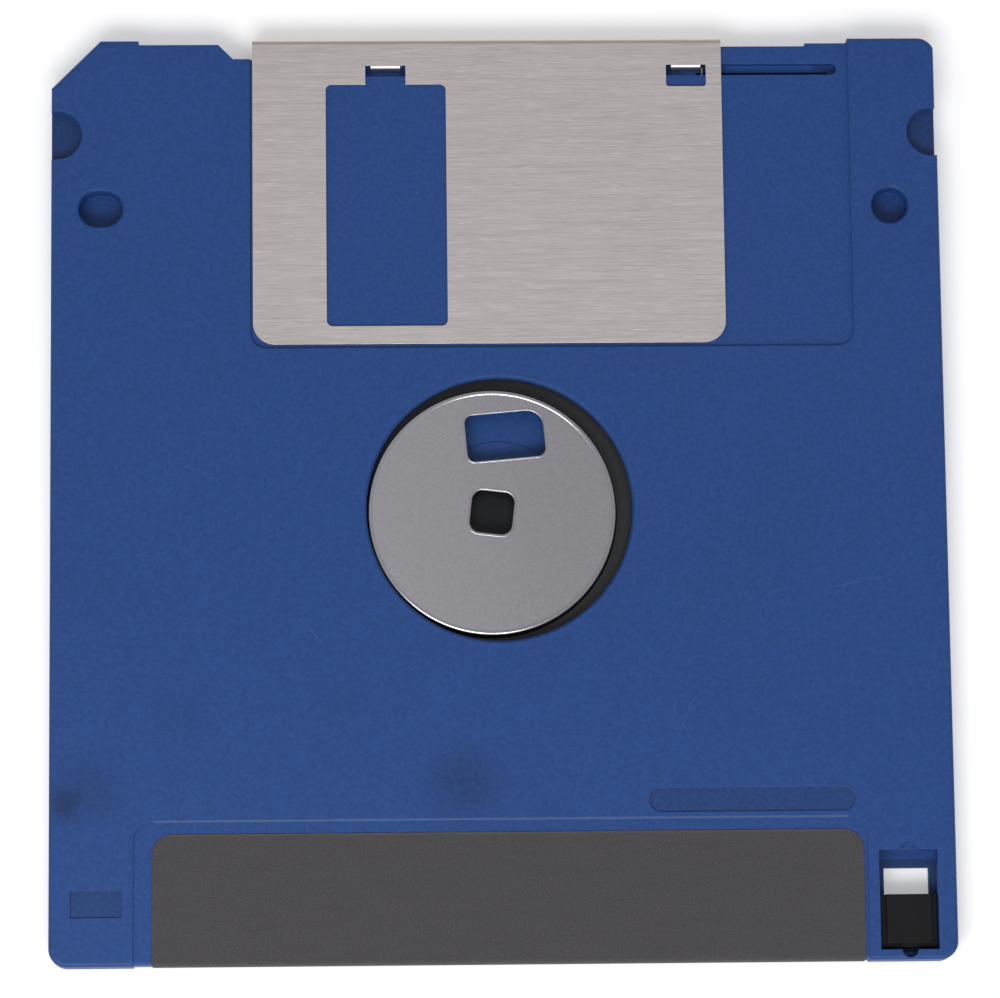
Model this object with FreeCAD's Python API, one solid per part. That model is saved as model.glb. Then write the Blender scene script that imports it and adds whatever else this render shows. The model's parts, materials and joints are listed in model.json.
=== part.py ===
import FreeCAD, Part
import math
import os

# A 90 mm floppy disk, lying on its label side with the metal hub up.
# Sizes are in millimetres. X runs across the case, +Y points to the shutter end, and the
# origin lies under the middle of the case, on the surface that it rests on.

# Case
case_width = 90.0
case_length = 94.0
case_thickness = 3.3
corner_radius = 1.8
edge_radius = 0.4
cut_corner = 4.95
face_wall = 0.9
side_wall = 1.0
rib_wall = 0.8

# Profile of the shutter end, as depths below the top edge and lengths along it
top_step_depth = 0.5
top_land = 3.85
shutter_rest_depth = 0.8
shutter_rest_end_gap = 4.45
lever_notch_depth = 2.0
lever_notch_lead = 3.45
lever_notch_reach = 2.65

# Hub opening, head windows and disk chamber, measured from the top edge
opening_drop = 48.5
opening_diameter = 26.7
opening_chamfer = 0.25
window_width = 9.0
window_drop = 5.4
window_length = 23.6
window_corner = 0.6
chamber_side_wall = 1.1
chamber_bottom_wall = 1.6
chamber_top_wall = 4.6

# Locating holes, measured from the side edges and from the top edge
locating_edge = 5.0
locating_drop = 17.5
locating_diameter = 3.6
locating_slot_extra = 0.8
locating_floor = 1.0
locating_chamfer = 0.2

# Half-round notches in the side edges
edge_notch_radius = 2.5
edge_notch_inset = 0.6
edge_notch_drop = 9.86
edge_notch_depth = 1.0
side_relief = 0.2

# Shutter, its recess and its guide groove
sheet = 0.2
shutter_width = 47.75
shutter_length = 31.6
shutter_corner = 2.2
shutter_fold_radius = 0.5
shutter_play = 0.05
shutter_travel = 12.0
shutter_recess_depth = 0.3
shutter_recess_side_gap = 0.25
shutter_recess_end_gap = 0.4
shutter_recess_edge = 8.95
shutter_end_room = 0.95
recess_corner = 1.6
shutter_window_inset = 7.45
shutter_window_width = 12.2
shutter_window_drop = 4.7
shutter_window_length = 25.05
groove_width = 1.13
groove_drop = 3.215
groove_depth = 1.0
groove_end_room = 0.55
groove_open_end_room = 1.89
groove_wall = 0.62
tab_width = 3.0
tab_depth = 0.9
tab_groove_gap = 0.22
tab_bend_radius = 0.15
tab_cut_corner = 0.3
left_tab_inset = 13.53
left_tab_cut_width = 4.08
right_tab_inset = 3.6
right_tab_cut_width = 4.06
right_tab_cut_length = 2.13

# Spring
wire = 0.35
wire_sides = 6
coil_radius = 1.3
coil_turns = 2.0
coil_drop = 12.8
spring_post_inset = 6.6
spring_post_drop = 6.4
spring_post_radius = 0.8

# Recesses in the hub side
label_recess_depth = 0.15
label_recess_left_margin = 8.35
label_recess_right_margin = 8.8
label_recess_height = 14.3
mark_recess_depth = 0.15
stadium_length = 20.52
stadium_width = 2.4
stadium_right_margin = 9.92
stadium_label_gap = 0.55
mould_mark_width = 5.07
mould_mark_height = 2.66
mould_mark_left_margin = 2.15
mould_mark_bottom_margin = 4.82

# Label, one sheet folded over the bottom edge
paper = 0.1
label_side_gap_left = 1.85
label_side_gap_right = 0.4
label_top_gap = 1.3
label_corner = 2.0
front_label_shutter_gap = 6.0

# Write-protect slider and its well, measured from the right and bottom edges
protect_inset = 4.8
protect_hole_width = 4.5
protect_hole_length = 3.3
protect_hole_rise = 7.65
protect_slot_width = 5.8
protect_slot_bottom_margin = 1.0
protect_travel = 4.0
slider_length = 5.2
slider_play = 0.1
slider_flange = 0.6
slider_flange_height = 0.95
slider_sunk = 0.4
slider_end_gap = 0.3
slider_top_room = 0.4
finger_notch_radius = 0.8
finger_notch_depth = 0.5
grip_side_inset = 0.55
grip_end_inset = 0.35
grip_height = 0.55

# Magnetic disk and hub
hub_shift_x = -0.75
hub_shift_y = -0.31
film = 0.08
film_side_gap = 1.0
hub_diameter = 25.0
hub_flange_diameter = 29.5
hub_metal = 0.3
hub_sunk = 0.33
hub_edge_radius = 0.38
hub_edge_steps = 3
hub_film_gap = 0.1
glue = 0.08
spindle_hole = 4.0
spindle_hole_corner = 1.0
spindle_hole_turn = -6.7
drive_slot_length = 8.1
drive_slot_width = 4.95
drive_slot_x = 1.39
drive_slot_y = 7.8
drive_slot_turn = 5.0
drive_slot_corner = 0.9
drive_slot_lead_corner = 1.8

# Parts inside the case
liner = 0.2
liner_outer_gap = 0.5
liner_inner_diameter = 31.0
liner_window_gap = 0.7
plateau_diameter = 14.4
plateau_height = 0.1
button_diameter = 9.0
button_thickness = 0.3
button_play = 0.05
lifter_width = 9.0
lifter_x = 15.0
lifter_near_end = 12.5
lifter_far_gap = 9.4
lifter_leaf = 0.08
lifter_pocket_depth = 0.3
lifter_pocket_gap = 0.5
arrow_side_margin = 4.6
arrow_top_margin = 6.0
arrow_width = 4.0
arrow_length = 3.4

# Weld posts between the two shells: distances from the sides and from the ends of the case
post_radius = 1.2
pin_radius = 0.6
pin_length = 0.5
pin_play = 0.05
left_post_inset = 7.0
left_post_rise = 7.0
right_post_inset = 12.0
right_post_rise = 5.5
left_top_post_inset = 11.5
left_top_post_drop = 10.0
right_top_post_inset = 8.7
right_top_post_drop = 20.3

# Levels and lines that follow from the sizes above
half_width = case_width / 2
half_length = case_length / 2
split = case_thickness / 2
floor_level = face_wall
ceiling_level = case_thickness - face_wall
recess_floor = shutter_recess_depth
recess_top = case_thickness - shutter_recess_depth

opening_y = half_length - opening_drop
chamber_radius = min(half_width - chamber_side_wall,
                     half_length + opening_y - chamber_bottom_wall,
                     half_length - opening_y - chamber_top_wall)
locating_x = half_width - locating_edge
locating_y = half_length - locating_drop

recess_right = half_width - shutter_recess_edge
shutter_right = recess_right - shutter_end_room - shutter_travel
shutter_left = shutter_right - shutter_width
shutter_bottom = half_length - shutter_length
recess_left = shutter_left - shutter_recess_side_gap
recess_bottom = shutter_bottom - shutter_recess_end_gap
left_tab_x = shutter_left + left_tab_inset
right_tab_x = shutter_right - right_tab_inset
groove_y = half_length - groove_drop
groove_bottom = recess_top - groove_depth
groove_left = left_tab_x - tab_width / 2 - groove_end_room
groove_right = right_tab_x + tab_width / 2 + shutter_travel + groove_open_end_room
band_bottom = groove_y - groove_width / 2 - groove_wall
fold_line = groove_y + groove_width / 2 - tab_groove_gap
spring_hook_x = right_tab_x + tab_width / 2 + wire / 2 + shutter_play / 2
spring_post_x = half_width - spring_post_inset
spring_post_y = half_length - spring_post_drop
coil_x = (spring_hook_x + spring_post_x) / 2
coil_y = half_length - coil_drop

label_recess_left = -half_width + label_recess_left_margin
label_recess_right = half_width - label_recess_right_margin
label_recess_top = -half_length + label_recess_height
front_label_top = recess_bottom - front_label_shutter_gap

protect_x = half_width - protect_inset
protect_y = -half_length + protect_hole_rise
protect_slot_bottom = -half_length + protect_slot_bottom_margin
slider_bottom = protect_slot_bottom + slider_end_gap
protect_slot_top = slider_bottom + slider_length + protect_travel + slider_top_room
channel_top = floor_level + slider_flange_height + 2 * slider_play
well_left = protect_x - protect_slot_width / 2 - slider_flange - slider_play
well_right = protect_x + protect_slot_width / 2 + slider_flange + slider_play

hub_x = hub_shift_x
hub_y = opening_y + hub_shift_y
film_radius = chamber_radius - film_side_gap
film_bottom = split - film / 2
flange_top = film_bottom - glue
hub_top = case_thickness - hub_sunk
lifter_near = opening_y - lifter_near_end
lifter_far = opening_y - chamber_radius + lifter_far_gap

post_places = [
    (-half_width + left_post_inset, -half_length + left_post_rise),
    (half_width - right_post_inset, -half_length + right_post_rise),
    (-half_width + left_top_post_inset, half_length - left_top_post_drop),
    (half_width - right_top_post_inset, half_length - right_top_post_drop),
]
margin = 5.0


def box(x0, x1, y0, y1, z0, z1):
    """Return a box between two corners."""
    return Part.makeBox(x1 - x0, y1 - y0, z1 - z0, FreeCAD.Vector(x0, y0, z0))


def disc(x, y, radius, z0, z1):
    """Return an upright cylinder."""
    return Part.makeCylinder(radius, z1 - z0, FreeCAD.Vector(x, y, z0))


def prism(points, z0, z1):
    """Return an upright prism over a closed outline of straight lines."""
    corners = [FreeCAD.Vector(x, y, z0) for x, y in points]
    face = Part.Face(Part.makePolygon(corners + corners[:1]))
    return face.extrude(FreeCAD.Vector(0, 0, z1 - z0))


def upright_edges(shape, places):
    """Return the upright edges of a prism that stand at the given places."""
    found = []
    for edge in shape.Edges:
        middle = edge.CenterOfMass
        upright = len(edge.Vertexes) == 2 and edge.BoundBox.ZLength > edge.Length * 0.99
        if upright and any(math.hypot(middle.x - x, middle.y - y) < 0.01 for x, y in places):
            found.append(edge)
    return found


def rounded_box(x0, x1, y0, y1, z0, z1, radius):
    """Return a box with all four upright edges rounded."""
    block = box(x0, x1, y0, y1, z0, z1)
    places = [(x0, y0), (x1, y0), (x1, y1), (x0, y1)]
    return block.makeFillet(radius, upright_edges(block, places))


def level_edges(shape, levels):
    """Return the edges that lie wholly at one of the given heights."""
    found = []
    for edge in shape.Edges:
        bounds = edge.BoundBox
        for level in levels:
            if abs(bounds.ZMin - level) < 0.001 and abs(bounds.ZMax - level) < 0.001:
                found.append(edge)
    return found


def rim_edges(shape, level, x, y, reach):
    """Return the edges at a height that lie within reach of an upright axis."""
    found = []
    for edge in level_edges(shape, [level]):
        bounds = edge.BoundBox
        across = max(abs(bounds.XMin - x), abs(bounds.XMax - x))
        along = max(abs(bounds.YMin - y), abs(bounds.YMax - y))
        if max(across, along) < reach + 0.001:
            found.append(edge)
    return found


def edge_step(x0, x1, depth, ramp_left, ramp_right):
    """Return a bite out of the top edge, with a sloping flank where a ramp is given."""
    outside = half_length + margin
    points = [(x0, outside), (x0, half_length), (x0 + ramp_left, half_length - depth),
              (x1 - ramp_right, half_length - depth), (x1, half_length), (x1, outside)]
    return prism(points, 0.0, case_thickness)


def case_block():
    """Return the solid outer form of both shells together."""
    block = box(-half_width, half_width, -half_length, half_length, 0.0, case_thickness)
    places = [(-half_width, -half_length), (half_width, -half_length), (half_width, half_length)]
    block = block.makeFillet(corner_radius, upright_edges(block, places))
    block = block.makeChamfer(cut_corner, upright_edges(block, [(-half_width, half_length)]))
    block = block.makeFillet(edge_radius, level_edges(block, [0.0, case_thickness]))
    step_left = -half_width + cut_corner + top_land
    rest_right = recess_right - shutter_rest_end_gap
    rest_ramp = shutter_rest_depth - top_step_depth
    notch_left = shutter_left - lever_notch_lead - top_step_depth
    notch_right = shutter_left + lever_notch_reach
    steps = [edge_step(step_left, recess_right, top_step_depth, 0.0, 0.0),
             edge_step(shutter_left, rest_right + rest_ramp, shutter_rest_depth, 0.0, rest_ramp),
             edge_step(notch_left, notch_right, lever_notch_depth, lever_notch_depth, 0.0)]
    for step in steps:
        block = block.cut(step)
    return block.cut(side_relief_cut())


def side_relief_cut():
    """Return the thin step that narrows the right side from its edge notch to the top corner."""
    left = half_width - side_relief
    lower = half_length - edge_notch_drop - edge_notch_radius
    points = [(left, lower + side_relief), (half_width, lower), (half_width + margin, lower),
              (half_width + margin, half_length + margin), (left, half_length + margin)]
    return prism(points, 0.0, case_thickness)


def plain_block(inset):
    """Return the case without its shutter end, inset all round, for what follows its edge."""
    left = -half_width + inset
    right = half_width - inset
    bottom = -half_length + inset
    block = box(left, right, bottom, half_length + margin, inset, case_thickness - inset)
    places = [(left, bottom), (right, bottom)]
    block = block.makeFillet(corner_radius - inset, upright_edges(block, places))
    rims = []
    for edge in level_edges(block, [inset, case_thickness - inset]):
        if edge.BoundBox.YMin < half_length:
            rims.append(edge)
    return block.makeFillet(edge_radius - inset, rims)


def interior(z0, z1):
    """Return the whole hollow inside the side walls, before ribs and bosses."""
    left = -half_width + side_wall
    right = half_width - side_wall
    bottom = -half_length + side_wall
    corner = cut_corner + side_wall
    drop = half_length - band_bottom
    points = [(left, bottom), (right, bottom), (right, band_bottom),
              (-half_width + corner + side_wall, band_bottom), (left, half_length - corner - drop / 2)]
    return prism(points, z0, z1)


def protect_well(z0, z1, wall):
    """Return the block that the write-protect slider runs in, widened by a wall."""
    top = protect_slot_top + slider_play + wall
    bottom = protect_slot_bottom - slider_play - wall
    return box(well_left - wall, well_right + wall, bottom, top, z0, z1)


def edge_notch(side, radius, z0, z1):
    """Return a round block at one of the notches of the side edges."""
    return disc(side * (half_width - edge_notch_inset), half_length - edge_notch_drop, radius, z0, z1)


def ribs(z0, z1):
    """Return the walls and bosses that stand in the hollow of either shell."""
    ring = disc(0, opening_y, chamber_radius + rib_wall, z0, z1).cut(disc(0, opening_y, chamber_radius, z0, z1))
    parts = [protect_well(z0, z1, rib_wall)]
    for side in (-1, 1):
        hole_boss = locating_diameter / 2 + locating_slot_extra / 2 + rib_wall
        parts.append(disc(side * locating_x, locating_y, hole_boss, z0, z1))
        parts.append(edge_notch(side, edge_notch_radius + rib_wall, z0, z1))
    for x, y in post_places:
        parts.append(disc(x, y, post_radius, z0, z1))
    return ring.fuse(parts)


def spring_gate(z0, z1):
    """Return the gap that lets the end of the spring reach up into the guide groove."""
    left = right_tab_x + tab_width / 2 - wire
    right = right_tab_x + tab_width / 2 + shutter_travel + 3 * wire
    upper = groove_y - groove_width / 2 + wire + 2 * shutter_play
    return box(left, right, band_bottom - rib_wall, upper, z0, z1)


def shell_hollow(z0, z1):
    """Return everything that is taken out of a shell from the inside."""
    hollow = interior(z0, z1).cut(ribs(z0, z1))
    return hollow.fuse(spring_gate(z0, z1))


def shutter_recess(z0, z1):
    """Return the shallow bed that the shutter slides in, open at the top edge."""
    return rounded_box(recess_left, recess_right, recess_bottom, half_length + margin, z0, z1, recess_corner)


def window_cut(z0, z1):
    """Return the slot in either shell that the heads reach through."""
    half = window_width / 2
    upper = half_length - window_drop
    return rounded_box(-half, half, upper - window_length, upper, z0, z1, window_corner)


def label_bed(top_level):
    """Return the recess for the label, cut as a skin that follows the bottom edge."""
    region = rounded_box(label_recess_left, label_recess_right, -half_length - margin, top_level,
                         -margin, case_thickness + margin, label_corner)
    return region.cut(plain_block(label_recess_depth))


def label_recess():
    """Return the label bed of both sides, longer on the label side."""
    upper = box(-case_width, case_width, -case_length, case_length, split, case_thickness + margin)
    lower = box(-case_width, case_width, -case_length, case_length, -margin, split)
    front_top = front_label_top + label_top_gap
    return label_bed(label_recess_top).common(upper).fuse(label_bed(front_top).common(lower))


def locating_hole(side, z0, z1):
    """Return a locating hole: round on the right, and longer along X on the left."""
    x = side * locating_x
    radius = locating_diameter / 2
    if side > 0:
        return disc(x, locating_y, radius, z0, z1)
    reach = locating_slot_extra / 2
    middle = box(x - reach, x + reach, locating_y - radius, locating_y + radius, z0, z1)
    ends = [disc(x - reach, locating_y, radius, z0, z1), disc(x + reach, locating_y, radius, z0, z1)]
    return middle.fuse(ends)


def guide_groove():
    """Return the groove that keeps the tabs of the shutter in line."""
    radius = groove_width / 2
    top = case_thickness
    straight = box(groove_left, groove_right - radius, groove_y - radius, groove_y + radius, groove_bottom, top)
    return straight.fuse(disc(groove_right - radius, groove_y, radius, groove_bottom, top))


def stadium(x0, x1, y0, y1, z0, z1):
    """Return a slot with half-round ends."""
    radius = (y1 - y0) / 2
    middle = box(x0 + radius, x1 - radius, y0, y1, z0, z1)
    ends = [disc(x, y0 + radius, radius, z0, z1) for x in (x0 + radius, x1 - radius)]
    return middle.fuse(ends)


def slider_channel(z0, z1):
    """Return the covered channel that holds the flanges of the slider."""
    return protect_well(z0, z1, 0.0)


def make_front_shell():
    """Return the shell of the label side, open towards the disk."""
    shell = case_block().common(box(-case_width, case_width, -case_length, case_length, 0.0, split))
    shell = shell.cut(shell_hollow(floor_level, split))
    shell = shell.cut(shutter_recess(-margin, recess_floor))
    shell = shell.cut(window_cut(-margin, split))
    shell = shell.cut(label_recess())
    for side in (-1, 1):
        shell = shell.cut(locating_hole(side, locating_floor, split))
    shell = shell.cut(slider_channel(floor_level, split))
    hole_half_width = protect_hole_width / 2
    hole_half_length = protect_hole_length / 2
    shell = shell.cut(box(protect_x - hole_half_width, protect_x + hole_half_width,
                          protect_y - hole_half_length, protect_y + hole_half_length, -margin, split))
    plateau_top = floor_level + plateau_height
    plateau = disc(0, opening_y, plateau_diameter / 2, floor_level - liner, plateau_top)
    seat = disc(0, opening_y, button_diameter / 2 + button_play, button_level(), plateau_top)
    shell = shell.fuse(plateau).cut(seat)
    shell = shell.cut(lifter_pocket())
    shell = shell.fuse([disc(x, y, pin_radius, split - pin_length, split + pin_length) for x, y in post_places])
    shell = shell.fuse(spring_post())
    return shell.cut(insertion_arrow()).removeSplitter()


def button_level():
    """Return the height of the seat of the wear button."""
    return floor_level + plateau_height + button_play - button_thickness


def lifter_pocket():
    """Return the shallow pocket under the lifter leaf."""
    half = lifter_width / 2 + lifter_pocket_gap
    return box(lifter_x - half, lifter_x + half, lifter_far - lifter_pocket_gap, lifter_near + lifter_pocket_gap,
               floor_level - lifter_pocket_depth, floor_level)


def spring_post():
    """Return the post that the fixed leg of the spring hooks round."""
    return disc(spring_post_x, spring_post_y, spring_post_radius, floor_level, split)


def insertion_arrow():
    """Return the moulded arrow of the label side, which points to the shutter end."""
    x = half_width - arrow_side_margin
    base = half_length - arrow_top_margin - arrow_length / 2
    points = [(x - arrow_width / 2, base), (x + arrow_width / 2, base), (x, base + arrow_length)]
    return prism(points, -margin, mark_recess_depth)


def make_back_shell():
    """Return the shell of the hub side, with every opening that the photograph shows."""
    top = case_thickness
    shell = case_block().common(box(-case_width, case_width, -case_length, case_length, split, top))
    shell = shell.cut(shell_hollow(split, ceiling_level))
    shell = shell.cut(shutter_recess(recess_top, top + margin))
    shell = shell.cut(window_cut(split, top + margin))
    shell = shell.cut(disc(0, opening_y, opening_diameter / 2, split, top))
    shell = shell.cut(guide_groove())
    shell = shell.cut(label_recess())
    mark_floor = top - mark_recess_depth
    stadium_right = half_width - stadium_right_margin
    stadium_bottom = label_recess_top + stadium_label_gap
    shell = shell.cut(stadium(stadium_right - stadium_length, stadium_right,
                              stadium_bottom, stadium_bottom + stadium_width, mark_floor, top))
    mark_left = -half_width + mould_mark_left_margin
    mark_bottom = -half_length + mould_mark_bottom_margin
    shell = shell.cut(box(mark_left, mark_left + mould_mark_width,
                          mark_bottom, mark_bottom + mould_mark_height, mark_floor, top))
    for side in (-1, 1):
        shell = shell.cut(locating_hole(side, split, top))
        shell = shell.cut(edge_notch(side, edge_notch_radius, top - edge_notch_depth, top))
    shell = shell.cut(slider_channel(split, channel_top))
    slot_half = protect_slot_width / 2
    shell = shell.cut(box(protect_x - slot_half, protect_x + slot_half,
                          protect_slot_bottom, protect_slot_top, split, top))
    shell = shell.cut(disc(protect_x, protect_slot_top, finger_notch_radius, top - finger_notch_depth, top))
    shell = shell.cut(disc(protect_x, protect_slot_bottom, finger_notch_radius, split, top))
    sockets = [disc(x, y, pin_radius + pin_play, split, split + pin_length + pin_play) for x, y in post_places]
    shell = shell.cut(Part.makeCompound(sockets)).removeSplitter()
    shell = shell.makeChamfer(opening_chamfer, rim_edges(shell, top, 0, opening_y, opening_diameter / 2))
    hole_reach = locating_diameter / 2 + locating_slot_extra
    for side in (-1, 1):
        rims = rim_edges(shell, top, side * locating_x, locating_y, hole_reach)
        shell = shell.makeChamfer(locating_chamfer, rims)
    return shell


def make_shutter():
    """Return the shutter: one sheet folded round the top edge, with two tabs bent inwards."""
    low = shutter_play
    high = case_thickness - shutter_play
    outer = box(shutter_left, shutter_right, shutter_bottom, half_length, low, high)
    folds = [edge for edge in outer.Edges
             if edge.BoundBox.YMin > half_length - 0.001 and edge.BoundBox.XLength > shutter_width / 2]
    outer = outer.makeFillet(shutter_fold_radius, folds)
    inner = box(shutter_left, shutter_right, shutter_bottom - margin, half_length - sheet, low + sheet, high - sheet)
    folds = [edge for edge in inner.Edges
             if edge.BoundBox.YMin > half_length - sheet - 0.001 and edge.BoundBox.XLength > shutter_width / 2]
    inner = inner.makeFillet(shutter_fold_radius - sheet, folds)
    body = outer.cut(inner)
    plan = rounded_box(shutter_left, shutter_right, shutter_bottom, half_length + margin,
                       -margin, case_thickness + margin, shutter_corner)
    body = body.common(plan)
    window_left = shutter_left + shutter_window_inset
    window_top = half_length - shutter_window_drop
    body = body.cut(rounded_box(window_left, window_left + shutter_window_width,
                                window_top - shutter_window_length, window_top,
                                -margin, case_thickness + margin, window_corner))
    cuts = [(left_tab_x, left_tab_cut_width, window_top - sheet),
            (right_tab_x, right_tab_cut_width, fold_line - right_tab_cut_length)]
    for x, width, bottom in cuts:
        relief = box(x - width / 2, x + width / 2, bottom, fold_line + tab_bend_radius, split, case_thickness)
        lower = [(x - width / 2, bottom), (x + width / 2, bottom)]
        body = body.cut(relief.makeFillet(tab_cut_corner, upright_edges(relief, lower)))
        body = body.fuse(shutter_tab(x, high))
    return body.removeSplitter()


def shutter_tab(x, high):
    """Return one tab, bent down from the sheet into the guide groove."""
    inner = tab_bend_radius
    outer = inner + sheet
    bend_y = fold_line + inner
    bend_z = high - outer
    tip = recess_top - tab_depth
    left = x - tab_width / 2

    def place(y, z):
        return FreeCAD.Vector(left, y, z)

    def quarter(radius):
        slant = radius * math.sqrt(0.5)
        return Part.Arc(place(bend_y, bend_z + radius), place(bend_y - slant, bend_z + slant),
                        place(bend_y - radius, bend_z)).toShape()

    sides = [
        quarter(outer),
        Part.makeLine(place(bend_y - outer, bend_z), place(bend_y - outer, tip)),
        Part.makeLine(place(bend_y - outer, tip), place(bend_y - inner, tip)),
        Part.makeLine(place(bend_y - inner, tip), place(bend_y - inner, bend_z)),
        quarter(inner),
        Part.makeLine(place(bend_y, bend_z + inner), place(bend_y, bend_z + outer)),
    ]
    face = Part.Face(Part.Wire(Part.__sortEdges__(sides)))
    return face.extrude(FreeCAD.Vector(tab_width, 0, 0))


def wire_section(centre, along, radius):
    """Return the eight-sided outline of the wire, square to its run."""
    across = FreeCAD.Vector(0, 0, 1).cross(along)
    if across.Length < 0.5:
        across = FreeCAD.Vector(1, 0, 0)
    across.normalize()
    upward = FreeCAD.Vector(along).normalize().cross(across)
    corners = []
    for step in range(wire_sides + 1):
        angle = 2 * math.pi * (step + 0.5) / wire_sides
        corners.append(centre + across * (radius * math.cos(angle)) + upward * (radius * math.sin(angle)))
    return Part.makePolygon(corners)


def wire_run(points, radius):
    """Return a wire that runs straight from point to point, with mitred bends."""
    path = Part.makePolygon(points)
    section = wire_section(points[0], points[1] - points[0], radius)
    return path.makePipeShell([section], True, False, 1)


def tangent_angle(x, y, side):
    """Return where on the coil, in radians, a straight leg from a point meets it."""
    away = math.hypot(x - coil_x, y - coil_y)
    return math.atan2(y - coil_y, x - coil_x) + side * math.acos(coil_radius / away)


def coil_point(angle, level):
    """Return a point on the centre line of the coil."""
    return FreeCAD.Vector(coil_x + coil_radius * math.cos(angle), coil_y + coil_radius * math.sin(angle), level)


def make_shutter_spring():
    """Return the hairpin spring: a coil with one leg on the case and one on the shutter."""
    radius = wire / 2
    pitch = wire + shutter_play
    wrap = spring_post_radius + radius + shutter_play
    post = FreeCAD.Vector(spring_post_x, spring_post_y, 0)
    outwards = post.sub(FreeCAD.Vector(coil_x, coil_y, 0)).normalize()
    across = FreeCAD.Vector(-outwards.y, outwards.x, 0)
    anchor = post + across * wrap
    gate_y = groove_y - groove_width / 2 + radius + shutter_play
    first = tangent_angle(anchor.x, anchor.y, 1)
    last = tangent_angle(spring_hook_x, gate_y, -1) + coil_turns * 2 * math.pi
    height = pitch * (last - first) / (2 * math.pi)
    low = split - height / 2
    helix = Part.makeHelix(pitch, height, coil_radius)
    helix.rotate(FreeCAD.Vector(0, 0, 0), FreeCAD.Vector(0, 0, 1), math.degrees(first))
    helix.translate(FreeCAD.Vector(coil_x, coil_y, low))
    start = coil_point(first, low)
    end = coil_point(last, low + height)
    along = FreeCAD.Vector(-math.sin(first), math.cos(first), 0)
    coil = Part.Wire(helix).makePipeShell([wire_section(start, along, radius)], True, True)
    anchor.z = low
    corner = anchor + outwards * wrap
    clasp = corner - across * wrap
    bend = FreeCAD.Vector(spring_hook_x, gate_y, end.z)
    rise = FreeCAD.Vector(spring_hook_x, gate_y, recess_top - tab_depth + wire)
    tip = FreeCAD.Vector(spring_hook_x, groove_y + groove_width / 2 - radius - shutter_play, rise.z)
    overlap = FreeCAD.Vector(bend - end).normalize() * radius
    fixed_leg = wire_run([clasp, corner, start + along * radius], radius)
    moving_leg = wire_run([end - overlap, bend, rise, tip], radius)
    return coil.fuse([fixed_leg, moving_leg])


def make_magnetic_disk():
    """Return the coated film."""
    blank = disc(hub_x, hub_y, film_radius, film_bottom, film_bottom + film)
    return blank.cut(disc(hub_x, hub_y, hub_diameter / 2 + hub_film_gap, film_bottom, film_bottom + film))


def make_hub_adhesive_ring():
    """Return the ring of glue that holds the film on the flange of the hub."""
    ring = disc(hub_x, hub_y, hub_flange_diameter / 2 - hub_film_gap, flange_top, film_bottom)
    return ring.cut(disc(hub_x, hub_y, hub_diameter / 2 + hub_film_gap, flange_top, film_bottom))


def turned_box(x, y, length, width, turn, radii):
    """Return an upright rounded block, turned about its middle, with a radius for each corner."""
    half_x = length / 2
    half_y = width / 2
    block = box(-half_x, half_x, -half_y, half_y, -margin, case_thickness + margin)
    corners = [(-half_x, -half_y), (half_x, -half_y), (half_x, half_y), (-half_x, half_y)]
    for corner, radius in zip(corners, radii):
        block = block.makeFillet(radius, upright_edges(block, [corner]))
    block.rotate(FreeCAD.Vector(0, 0, 0), FreeCAD.Vector(0, 0, 1), turn)
    block.translate(FreeCAD.Vector(x, y, 0))
    return block


def rounded_rim():
    """Return the profile points of the rounded upper edge of the hub."""
    points = []
    for step in range(hub_edge_steps + 1):
        angle = math.pi / 2 * step / hub_edge_steps
        radius = hub_diameter / 2 - hub_edge_radius + hub_edge_radius * math.cos(angle)
        points.append((radius, hub_top - hub_edge_radius + hub_edge_radius * math.sin(angle)))
    return points


def make_hub():
    """Return the stamped metal hub: a flanged cup with a spindle hole and a drive slot."""
    bottom = flange_top - hub_metal
    inside = hub_diameter / 2 - hub_metal
    flange = hub_flange_diameter / 2
    profile = [(inside, bottom), (flange, bottom), (flange, flange_top), (hub_diameter / 2, flange_top)]
    profile += rounded_rim()
    profile += [(0, hub_top), (0, hub_top - hub_metal), (inside, hub_top - hub_metal)]
    corners = [FreeCAD.Vector(hub_x + radius, hub_y, level) for radius, level in profile]
    face = Part.Face(Part.makePolygon(corners + corners[:1]))
    hub = face.revolve(FreeCAD.Vector(hub_x, hub_y, 0), FreeCAD.Vector(0, 0, 1), 360)
    hub = hub.cut(turned_box(hub_x, hub_y, spindle_hole, spindle_hole, spindle_hole_turn,
                             [spindle_hole_corner] * 4))
    radii = [drive_slot_corner, drive_slot_corner, drive_slot_lead_corner, drive_slot_corner]
    hub = hub.cut(turned_box(hub_x + drive_slot_x, hub_y + drive_slot_y, drive_slot_length, drive_slot_width,
                             drive_slot_turn, radii))
    return hub.removeSplitter()


def make_liner(z0):
    """Return a ring of liner cloth with a gap for the head window."""
    ring = disc(0, opening_y, chamber_radius - liner_outer_gap, z0, z0 + liner)
    ring = ring.cut(disc(0, opening_y, liner_inner_diameter / 2, z0, z0 + liner))
    half = window_width / 2 + liner_window_gap
    gap_bottom = half_length - window_drop - window_length - liner_window_gap
    return ring.cut(box(-half, half, gap_bottom, case_length, z0, z0 + liner))


def make_lifter():
    """Return the folded leaf that lifts the liner against the film."""
    bottom = floor_level - lifter_pocket_depth
    top = floor_level - lifter_leaf
    left = lifter_x - lifter_width / 2
    points = [
        (lifter_far, bottom),
        (lifter_near, bottom),
        (lifter_near, bottom + lifter_leaf),
        (lifter_far + top - bottom, bottom + lifter_leaf),
        (lifter_near, top),
        (lifter_near, top + lifter_leaf),
        (lifter_far, bottom + lifter_leaf * 1.5),
    ]
    corners = [FreeCAD.Vector(left, y, z) for y, z in points]
    face = Part.Face(Part.makePolygon(corners + corners[:1]))
    return face.extrude(FreeCAD.Vector(lifter_width, 0, 0))


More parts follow.
